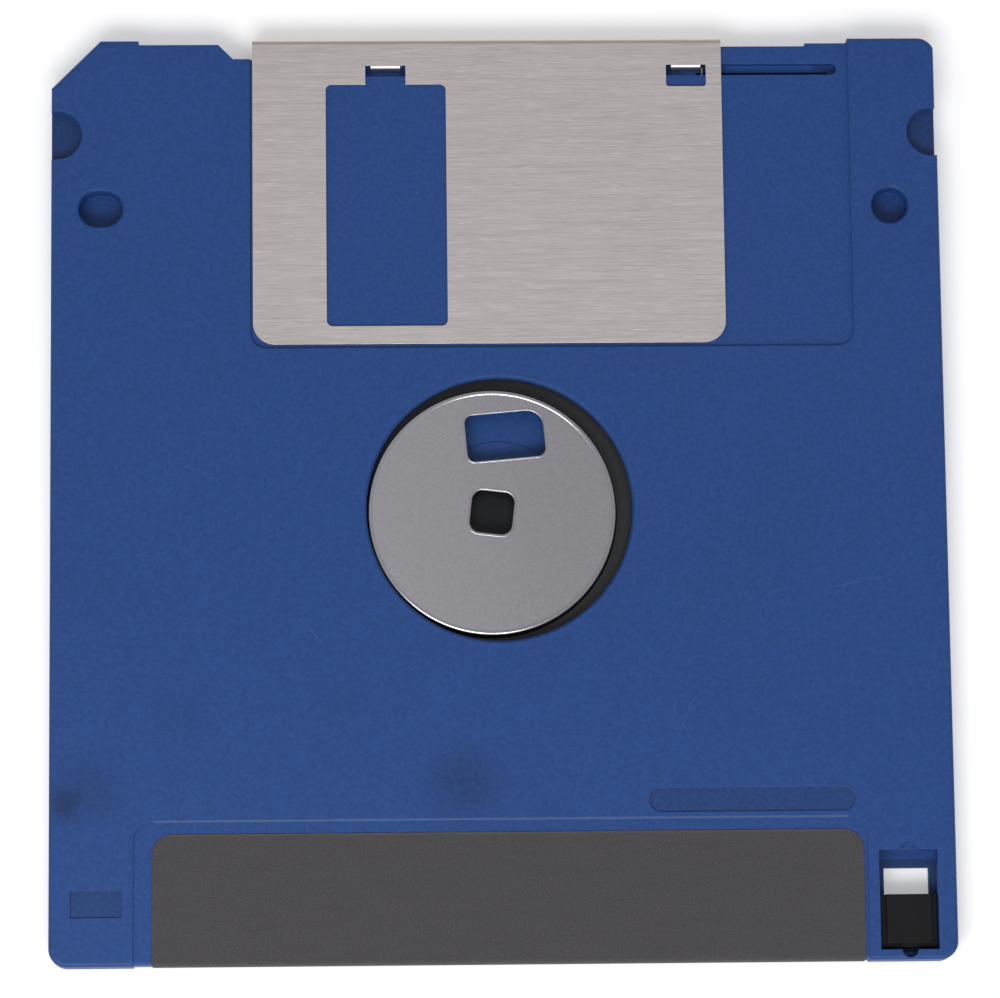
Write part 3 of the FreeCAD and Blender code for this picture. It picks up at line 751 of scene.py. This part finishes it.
@dataclass(frozen=True)
class LabelPaper:
    """Dark grey matte paper with mottled fibres and a worn brownish edge."""

    colour: Colour = (0.053, 0.051, 0.055)
    dark: Colour = (0.041, 0.039, 0.042)
    light: Colour = (0.092, 0.086, 0.087)
    edge: Colour = (0.100, 0.080, 0.066)
    roughness: float = 0.78
    roughness_change: float = 0.1
    specular: float = 0.25
    fibre: Pattern = Pattern(4.6, 3.0, 0.75, fade=(0.40, 0.66), share=0.56, stretch=(1.0, 1.4, 1.0))
    fibre_depth: float = 0.018
    mottle: Pattern = Pattern(0.9, 3.0, 0.6, fade=(0.4, 0.75), share=0.26, stretch=(0.25, 1.3, 1.0))
    mottle_depth: float = 0.5
    worn_from: Point = (-34.3, -34.12)
    upper_side: Point = (3.0, 3.1)
    worn_strength: float = 0.5
    specks: Specks = Specks(spacing=1.9, radius=0.07, share=0.2)
    speck_strength: float = 0.5
    edge_radius: float = 0.04

    def material(self) -> bpy.types.Material:
        """Make the finish of the label.

        Returns:
            The material.
        """
        shader = Shader("label_paper")
        place = shader.place()
        fibre = shader.noise(place, self.fibre)
        mottle = shader.noise(place, self.mottle)
        colour = shader.mix(shader.mask(mottle, self.mottle), self.colour, self.dark)
        colour = shader.mix(shader.mask(fibre, self.fibre), colour, self.light)
        _, y, z = shader.axes(place)
        worn = y.ramp(*self.worn_from) * z.ramp(*self.upper_side)
        colour = shader.mix(worn * self.worn_strength, colour, self.edge)
        colour = shader.mix(shader.specks(place, self.specks) * self.speck_strength, colour, self.light)
        normal = shader.bump(fibre + mottle * self.mottle_depth, self.fibre_depth,
                             shader.soft_edges(self.edge_radius))
        roughness = self.roughness + mottle * self.roughness_change
        return shader.surface(colour, roughness, normal, {"Specular IOR Level": self.specular})


@dataclass(frozen=True)
class MouldedPlastic:
    """Plain moulded plastic with a fine grain and a little dust."""

    name: str
    colour: Colour
    worn: Colour
    roughness: float
    roughness_change: float = 0.08
    specular: float = 0.24
    grain: Pattern = Pattern(4.5, 3.0, 0.6, fade=(0.5, 0.8), share=0.3)
    grain_depth: float = 0.006
    cloud: Pattern = Pattern(0.5, 2.0, fade=(0.4, 0.75), share=0.6)
    dust: Colour = (0.12, 0.12, 0.12)
    specks: Specks = Specks(spacing=1.3, radius=0.05, share=0.12)
    dust_strength: float = 0.5
    edge_radius: float = 0.08

    def material(self) -> bpy.types.Material:
        """Make the finish.

        Returns:
            The material.
        """
        shader = Shader(self.name)
        place = shader.place()
        grain = shader.noise(place, self.grain)
        shade = shader.mask(shader.noise(place, self.cloud), self.cloud) + shader.mask(grain, self.grain)
        colour = shader.mix(shade, self.colour, self.worn)
        colour = shader.mix(shader.specks(place, self.specks) * self.dust_strength, colour, self.dust)
        normal = shader.bump(grain, self.grain_depth, shader.soft_edges(self.edge_radius))
        roughness = self.roughness + grain * self.roughness_change
        return shader.surface(colour, roughness, normal, {"Specular IOR Level": self.specular})


@dataclass(frozen=True)
class LinerCloth:
    """White nonwoven cloth with short crossing fibres and bond points."""

    colour: Colour = (0.78, 0.78, 0.76)
    shade: Colour = (0.55, 0.55, 0.53)
    roughness: float = 0.9
    specular: float = 0.2
    sheen: float = 0.15
    across: Pattern = Pattern(1.0, 3.0, 0.7, fade=(0.72, 0.42), share=0.6, stretch=(6.0, 0.9, 1.0))
    along: Pattern = Pattern(1.0, 3.0, 0.7, fade=(0.72, 0.42), share=0.6, stretch=(0.9, 6.0, 1.0))
    bonds: Specks = Specks(spacing=0.9, radius=0.16, share=0.8)
    bond_shade: float = 0.3
    bond_depth: float = 0.5
    fibre_depth: float = 0.05

    def material(self) -> bpy.types.Material:
        """Make the finish of the two liners.

        Returns:
            The material.
        """
        shader = Shader("liner_cloth")
        place = shader.place()
        fibres = shader.noise(place, self.across).peak(shader.noise(place, self.along))
        bonds = shader.specks(place, self.bonds)
        shade = shader.mask(fibres, self.across) + bonds * self.bond_shade
        colour = shader.mix(shade, self.colour, self.shade)
        normal = shader.bump(fibres - bonds * self.bond_depth, self.fibre_depth)
        others = {"Specular IOR Level": self.specular, "Sheen Weight": self.sheen}
        return shader.surface(colour, self.roughness, normal, others)


@dataclass(frozen=True)
class ThinLayer:
    """A thin cloudy layer, such as polyester leaf or pressed glue."""

    name: str
    colour: Colour
    cloudy: Colour
    roughness: float
    roughness_change: float = 0.12
    cloud: Pattern = Pattern(0.8, 3.0, 0.6, fade=(0.4, 0.7))
    fine: Pattern = Pattern(5.0, 2.0)
    cloud_depth: float = 0.01
    fine_depth: float = 0.3

    def material(self) -> bpy.types.Material:
        """Make the finish.

        Returns:
            The material.
        """
        shader = Shader(self.name)
        place = shader.place()
        cloud = shader.noise(place, self.cloud)
        fine = shader.noise(place, self.fine)
        colour = shader.mix(cloud.ramp(*self.cloud.fade), self.colour, self.cloudy)
        normal = shader.bump(cloud + fine * self.fine_depth, self.cloud_depth)
        roughness = self.roughness + fine * self.roughness_change
        return shader.surface(colour, roughness, normal, {})


def dress(nodes: Mapping[str, bpy.types.Object], names: Iterable[str], material: bpy.types.Material) -> None:
    """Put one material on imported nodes.

    Args:
        nodes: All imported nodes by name.
        names: Which of them to dress.
        material: Their finish.
    """
    for name in names:
        slots = nodes[name].material_slots
        if not slots:
            nodes[name].data.materials.append(material)
        for slot in nodes[name].material_slots:
            slot.material = material
        LOG.info("%s: finish %s", name, material.name)


def add_piece(name: str, mesh: bpy.types.Mesh, material: bpy.types.Material) -> bpy.types.Object:
    """Put a new object in the scene.

    Args:
        name: Its name.
        mesh: Its mesh.
        material: Its finish.

    Returns:
        The object.
    """
    mesh.materials.clear()
    mesh.materials.append(material)
    piece = bpy.data.objects.new(name, mesh)
    bpy.context.scene.collection.objects.link(piece)
    LOG.info("%s: %d faces", name, len(mesh.polygons))
    return piece


def lathe(profile: Sequence[Point], centre: Point, segments: int) -> bmesh.types.BMesh:
    """Return a closed ring turned from a profile.

    Args:
        profile: Closed outline as radius and height, in metres.
        centre: Axis of the ring.
        segments: Steps round the axis.

    Returns:
        The mesh in edit form.
    """
    ring = bmesh.new()
    rows = []
    for step in range(segments):
        angle = 2 * math.pi * step / segments
        rows.append([ring.verts.new((centre[0] + radius * math.cos(angle),
                                     centre[1] + radius * math.sin(angle), height))
                     for radius, height in profile])
    for step, row in enumerate(rows):
        following = rows[(step + 1) % segments]
        for place in range(len(profile)):
            after = (place + 1) % len(profile)
            ring.faces.new((row[place], following[place], following[after], row[after]))
    bmesh.ops.recalc_face_normals(ring, faces=ring.faces)
    return ring


def arc(centre: Point, radius: float, start: float, end: float, steps: int) -> list[Point]:
    """Work out points on an arc.

    Args:
        centre: Middle of the arc.
        radius: Its radius.
        start: Angle of its first point, in degrees.
        end: Angle of its last point, in degrees.
        steps: Number of steps between them.

    Returns:
        The points.
    """
    points = []
    for step in range(steps + 1):
        angle = math.radians(start + (end - start) * step / steps)
        points.append((centre[0] + radius * math.cos(angle), centre[1] + radius * math.sin(angle)))
    return points


def rounded_outline(length: float, width: float, radii: Sequence[float], centre: Point,
                    turn: float) -> list[Point]:
    """Return the outline of a rounded rectangle.

    Args:
        length: Size along its own X.
        width: Size along its own Y.
        radii: Corner radii, from the lower left corner anticlockwise.
        centre: Middle of the rectangle.
        turn: Its turn in degrees.

    Returns:
        Points of the closed outline.
    """
    signs = ((-1, -1), (1, -1), (1, 1), (-1, 1))
    outline: list[Point] = []
    for number, (radius, (side, end)) in enumerate(zip(radii, signs)):
        middle = (side * (length / 2 - radius), end * (width / 2 - radius))
        outline += arc(middle, radius, 180 + 90 * number, 270 + 90 * number, CORNER_STEPS)
    cosine = math.cos(math.radians(turn))
    sine = math.sin(math.radians(turn))
    return [(centre[0] + x * cosine - y * sine, centre[1] + x * sine + y * cosine) for x, y in outline]


class Fill(Enum):
    """How a flat curve becomes a body."""

    PLATE = "BOTH"
    WIRE = "FULL"


def curve_mesh(outlines: Sequence[Sequence[Vector]], fill: Fill, half_height: float, rounding: float,
               closed: bool = True) -> bpy.types.Mesh:
    """Return a mesh made from curves through points.

    Args:
        outlines: Points of each curve.
        fill: Whether the curves bound a plate or each becomes a wire.
        half_height: Half the height of a plate, beside its rounding.
        rounding: Radius of the rounded edges, or of the wire.
        closed: Whether each curve closes on itself.

    Returns:
        The mesh, in the place of the points.
    """
    curve = bpy.data.curves.new("outline", "CURVE")
    curve.dimensions = "2D" if fill is Fill.PLATE else "3D"
    curve.fill_mode = fill.value
    curve.extrude = half_height
    curve.bevel_depth = rounding
    curve.bevel_resolution = BEVEL_STEPS
    if fill is Fill.PLATE:
        curve.offset = -rounding
    for outline in outlines:
        spline = curve.splines.new("POLY")
        spline.points.add(len(outline) - 1)
        for point, place in zip(spline.points, outline):
            point.co = (*place, 1.0)
        spline.use_cyclic_u = closed
    holder = bpy.data.objects.new("outline", curve)
    bpy.context.scene.collection.objects.link(holder)
    bpy.context.view_layer.update()
    shown = holder.evaluated_get(bpy.context.evaluated_depsgraph_get())
    mesh = bpy.data.meshes.new_from_object(shown)
    bpy.data.objects.remove(holder)
    bpy.data.curves.remove(curve)
    return mesh


def smooth(mesh: bpy.types.Mesh, sharp: float = 38.0) -> None:
    """Shade a mesh smoothly, apart from edges sharper than an angle in degrees."""
    mesh.polygons.foreach_set("use_smooth", [True] * len(mesh.polygons))
    mesh.set_sharp_from_angle(angle=math.radians(sharp))


@dataclass
class CaseShells:
    """The two moulded shells."""

    finish: CasePlastic = CasePlastic()

    def build(self, frame: Mapping[str, object]) -> None:
        """Dress both shells."""
        dress(frame["nodes"], ("front_shell", "back_shell"), self.finish.material())


@dataclass
class DiskAssembly:
    """The stamped hub, the glue ring and the film. Lengths are in millimetres."""

    metal: float = 0.3
    cup_radius: float = 12.5
    rim_radius: float = 0.32
    bead_radius: float = 11.98
    bead_width: float = 0.14
    plate_drop: float = 0.06
    edge_rounding: float = 0.06
    lip_radius: float = 0.22
    lip_drop: float = 0.19
    slot_lip: float = 0.15
    slot_lip_drop: float = 0.12
    flange_above_bottom: float = 0.3
    foot_radius: float = 0.15
    spindle_hole: float = 4.2
    spindle_corner: float = 1.0
    spindle_turn: float = -6.7
    slot_length: float = 8.1
    slot_width: float = 4.95
    slot_offset: Point = (1.39, 7.8)
    slot_turn: float = 5.0
    slot_corner: float = 0.9
    slot_lead_corner: float = 1.8
    segments: int = 192
    rim_steps: int = 12
    foot_steps: int = 4
    flange_steps: int = 6
    steel: TurnedSteel = TurnedSteel()
    coating: CoatedFilm = CoatedFilm()
    glue: ThinLayer = ThinLayer("adhesive", (0.50, 0.47, 0.38), (0.60, 0.57, 0.47), 0.6)

    def build(self, frame: Mapping[str, object]) -> None:
        """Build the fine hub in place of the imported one, and dress the film and its glue.

        Args:
            frame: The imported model.
        """
        low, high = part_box("hub")
        centre = ((low.x + high.x) / 2, (low.y + high.y) / 2)
        in_mm = (centre[0] / MM, centre[1] / MM)
        steel = self.steel.material(in_mm, high.z / MM - self.plate_drop)
        hub = add_piece("hub_stamping", self._hub_mesh(centre, low, high), steel)
        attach(hub, "disk")
        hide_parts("hub")
        dress(frame["nodes"], ("magnetic_disk",), self.coating.material(in_mm))
        dress(frame["nodes"], ("hub_adhesive_ring",), self.glue.material())

    def _hub_mesh(self, centre: Point, low: Vector, high: Vector) -> bpy.types.Mesh:
        """Return the hub: a pierced plate, a lip round each of its holes and the turned cup.

        Args:
            centre: Axis of the hub.
            low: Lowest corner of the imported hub.
            high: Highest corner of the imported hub.

        Returns:
            One mesh of all of them.
        """
        top = high.z - self.plate_drop * MM
        plate_radius = (self.bead_radius + self.edge_rounding) * MM
        middle = top - self.metal * MM / 2
        rim = arc(centre, plate_radius, 0, 360 * (1 - 1 / self.segments), self.segments - 1)
        reach = (self.spindle_hole + 2 * self.lip_radius) * MM
        square = rounded_outline(reach, reach, [(self.spindle_corner + self.lip_radius) * MM] * 4,
                                 centre, self.spindle_turn)
        corner = self.slot_corner * MM
        radii = [corner, corner, self.slot_lead_corner * MM, corner]
        slot_centre = (centre[0] + self.slot_offset[0] * MM, centre[1] + self.slot_offset[1] * MM)
        slot = rounded_outline(self.slot_length * MM, self.slot_width * MM, radii,
                               slot_centre, self.slot_turn)
        flat = [[Vector((x, y, 0.0)) for x, y in outline] for outline in (rim, square, slot)]
        rounding = self.edge_rounding * MM
        plate = curve_mesh(flat, Fill.PLATE, self.metal * MM / 2 - rounding, rounding)
        plate.transform(Matrix.Translation((0.0, 0.0, middle)))
        lips = [self._lip(square, self.lip_radius * MM, top - self.lip_drop * MM),
                self._lip(slot, self.slot_lip * MM, top - self.slot_lip_drop * MM)]
        flange = (high.x - low.x) / 2
        joined = lathe(self._cup_profile(flange, low.z, high.z), centre, self.segments)
        for part in (plate, *lips):
            joined.from_mesh(part)
        mesh = bpy.data.meshes.new("hub_stamping")
        joined.to_mesh(mesh)
        joined.free()
        smooth(mesh)
        return mesh

    def _lip(self, outline: Sequence[Point], radius: float, level: float) -> bpy.types.Mesh:
        """Return the rolled edge that follows a hole, with its middle at a level."""
        return curve_mesh([[Vector((x, y, level)) for x, y in outline]], Fill.WIRE, 0.0, radius)

    def _cup_profile(self, flange: float, bottom: float, top: float) -> list[Point]:
        """Draw the section of the cup outside its plate.

        Args:
            flange: Outer radius of the flange.
            bottom: Lowest level of the hub.
            top: Highest level of the hub.

        Returns:
            Closed outline as radius and height.
        """
        outer = self.cup_radius * MM
        inner = self.bead_radius * MM
        metal = self.metal * MM
        rim = self.rim_radius * MM
        foot = self.foot_radius * MM
        shoulder = bottom + self.flange_above_bottom * MM
        profile = [(inner, top - metal), (inner, top - self.plate_drop * MM)]
        profile += [(inner + self.bead_width * MM / 2, top - self.plate_drop * MM / 3)]
        profile += [(inner + self.bead_width * MM, top)]
        profile += arc((outer - rim, top - rim), rim, 90, 0, self.rim_steps)
        profile += arc((outer + foot, shoulder + foot), foot, 180, 270, self.foot_steps)
        profile += arc((flange - metal / 2, bottom + metal / 2), metal / 2, 90, -90, self.flange_steps)
        profile += [(outer - metal, bottom), (outer - metal, top - metal)]
        return profile


@dataclass
class ShutterAssembly:
    """The folded shutter and its hairpin spring. Lengths are in millimetres."""

    wire: float = 0.35
    play: float = 0.05
    coil_radius: float = 1.3
    turns: int = 2
    steps_a_turn: int = 24
    sharp_edge: float = 60.0
    post: Point = (38.4, 40.6)
    post_radius: float = 0.8
    hook: Point = (21.2, 43.45)
    hook_level: float = 2.45
    hook_reach: float = 0.62
    level: float = 1.65
    coil_y: float = 34.2
    steel: BrushedSteel = BrushedSteel()
    spring_steel: PlainSteel = PlainSteel()

    def build(self, frame: Mapping[str, object]) -> None:
        """Dress the shutter and build the spring, which closes as the shutter opens.

        Args:
            frame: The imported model.
        """
        dress(frame["nodes"], ("shutter",), self.steel.material())
        radius = self.wire * MM / 2
        mesh = curve_mesh([self._spring_line()], Fill.WIRE, 0.0, radius, closed=False)
        smooth(mesh, self.sharp_edge)
        spring = add_piece("hairpin_spring", mesh, self.spring_steel.material())
        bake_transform(spring)
        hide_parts("shutter_spring")

    def _spring_line(self) -> list[Vector]:
        """Draw the centre line of the spring.

        Returns:
            Its points, from the post over the coil to the hook, in metres.
        """
        coil_x = (self.hook[0] + self.post[0]) / 2
        middle = Vector((coil_x, self.coil_y))
        post = Vector(self.post)
        outwards = (post - middle).normalized()
        across = Vector((-outwards.y, outwards.x))
        wrap = self.post_radius + self.wire / 2 + self.play
        anchor = post + across * wrap
        first = self._tangent(anchor, middle, 1)
        last = self._tangent(Vector(self.hook), middle, -1) + self.turns * 2 * math.pi
        rise = (self.wire + self.play) * (last - first) / (2 * math.pi)
        low = self.level - rise / 2
        steps = self.steps_a_turn * self.turns
        line = [(*(anchor + outwards * wrap - across * wrap), low), (*(anchor + outwards * wrap), low)]
        for step in range(steps + 1):
            share = step / steps
            angle = first + (last - first) * share
            line.append((middle.x + self.coil_radius * math.cos(angle),
                         middle.y + self.coil_radius * math.sin(angle), low + rise * share))
        line.append((*self.hook, low + rise))
        line.append((*self.hook, self.hook_level))
        line.append((self.hook[0], self.hook[1] + self.hook_reach, self.hook_level))
        return [Vector(place) * MM for place in line]

    def _tangent(self, place: Vector, middle: Vector, side: int) -> float:
        """Return where on the coil, in radians, a straight leg from a place meets it."""
        away = place - middle
        return math.atan2(away.y, away.x) + side * math.acos(self.coil_radius / away.length)


@dataclass
class LinerSet:
    """The cloth liners, the leaf that presses one of them up, and the wear button."""

    cloth: LinerCloth = LinerCloth()
    leaf: ThinLayer = ThinLayer("lifter_film", (0.72, 0.71, 0.65), (0.80, 0.79, 0.74), 0.3)
    button: MouldedPlastic = MouldedPlastic(
        "wear_plastic", (0.0065, 0.008, 0.0105), (0.011, 0.0135, 0.017), 0.3)

    def build(self, frame: Mapping[str, object]) -> None:
        """Dress all four.

        Args:
            frame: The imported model.
        """
        dress(frame["nodes"], ("front_liner", "back_liner"), self.cloth.material())
        dress(frame["nodes"], ("liner_lifter",), self.leaf.material())
        dress(frame["nodes"], ("wear_button",), self.button.material())


@dataclass
class WriteProtect:
    """The black slider."""

    plastic: MouldedPlastic = MouldedPlastic(
        "slider_plastic", (0.0014, 0.0017, 0.0026), (0.0045, 0.005, 0.0064), 0.45)

    def build(self, frame: Mapping[str, object]) -> None:
        """Dress the slider."""
        dress(frame["nodes"], ("write_protect_slider",), self.plastic.material())


@dataclass
class PaperLabel:
    """The folded paper label."""

    paper: LabelPaper = LabelPaper()

    def build(self, frame: Mapping[str, object]) -> None:
        """Dress the label."""
        dress(frame["nodes"], ("label",), self.paper.material())


@dataclass
class Studio:
    """Floor, soft light and camera."""

    floor_size: float = 6.0
    floor_colour: Colour = (0.84, 0.84, 0.85)
    floor_roughness: float = 0.9
    floor_glow: float = 0.27
    world_level: float = 0.53
    key_place: tuple[float, float, float] = (-0.07, -0.26, 0.34)
    key_width: float = 0.34
    key_height: float = 0.16
    key_power: float = 1.25
    lens: float = 174.89
    sensor_width: float = 36.0
    nearest: float = 0.01
    camera_place: tuple[float, float, float] = (-0.01437, -0.08173, 0.48347)
    camera_right: tuple[float, float, float] = (0.99954012, -0.01144617, 0.02808072)
    camera_up: tuple[float, float, float] = (0.00660165, 0.98595126, 0.16690278)

    def build(self) -> None:
        """Make the whole studio."""
        self._make_world()
        self._make_floor()
        self._make_key()
        self._make_camera()
        bpy.context.scene.view_settings.view_transform = "Standard"

    def _make_world(self) -> None:
        """Fill the scene with even white light."""
        world = bpy.data.worlds.new("studio")
        world.use_nodes = True
        background = world.node_tree.nodes["Background"]
        background.inputs["Color"].default_value = (1.0, 1.0, 1.0, 1.0)
        background.inputs["Strength"].default_value = self.world_level
        bpy.context.scene.world = world

    def _make_floor(self) -> None:
        """Lay a pale floor that keeps the shadow and glows to white for what sees it."""
        reach = self.floor_size / 2
        mesh = bpy.data.meshes.new("floor")
        signs = ((-1, -1), (1, -1), (1, 1), (-1, 1))
        mesh.from_pydata([(side * reach, end * reach, 0.0) for side, end in signs], [], [(0, 1, 2, 3)])
        shader = Shader("floor")
        rays = shader.node("ShaderNodeLightPath", output="Is Camera Ray")
        outputs = rays.link.node.outputs
        seen = rays.peak(Socket(shader, outputs["Is Glossy Ray"])).peak(
            Socket(shader, outputs["Is Transmission Ray"]))
        glow = shader.mix(seen, (0.0, 0.0, 0.0), (self.floor_glow,) * 3)
        others = {"Specular IOR Level": 0.0, "Emission Color": glow, "Emission Strength": 1.0}
        material = shader.surface(self.floor_colour, self.floor_roughness, None, others)
        add_piece("floor", mesh, material)

    def _make_key(self) -> None:
        """Hang a wide soft lamp at the lower left, turned to the middle of the disk."""
        lamp = bpy.data.lights.new("key", "AREA")
        lamp.shape = "RECTANGLE"
        lamp.size = self.key_width
        lamp.size_y = self.key_height
        lamp.energy = self.key_power
        holder = bpy.data.objects.new("key", lamp)
        holder.location = self.key_place
        holder.rotation_euler = Vector(self.key_place).to_track_quat("Z", "Y").to_euler()
        bpy.context.scene.collection.objects.link(holder)

    def _make_camera(self) -> None:
        """Set the camera where the photograph was taken from."""
        data = bpy.data.cameras.new("camera")
        data.sensor_fit = "HORIZONTAL"
        data.sensor_width = self.sensor_width
        data.lens = self.lens
        data.clip_start = self.nearest
        camera = bpy.data.objects.new("camera", data)
        right = Vector(self.camera_right)
        up = Vector(self.camera_up)
        rotation = Matrix((right, up, right.cross(up))).transposed()
        camera.matrix_world = Matrix.Translation(self.camera_place) @ rotation.to_4x4()
        bpy.context.scene.collection.objects.link(camera)
        bpy.context.scene.camera = camera


def main() -> None:
    """Build and dress the disk, piece by piece, and set up the studio."""
    logging.basicConfig(level=logging.INFO, format="%(name)s: %(message)s")
    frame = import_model()
    for assembly in (CaseShells(), DiskAssembly(), ShutterAssembly(), LinerSet(),
                     WriteProtect(), PaperLabel()):
        LOG.info("building %s", type(assembly).__name__)
        assembly.build(frame)
    Studio().build()
    bpy.context.view_layer.update()
    LOG.info("studio is ready")


if __name__ == "__main__":
    main()
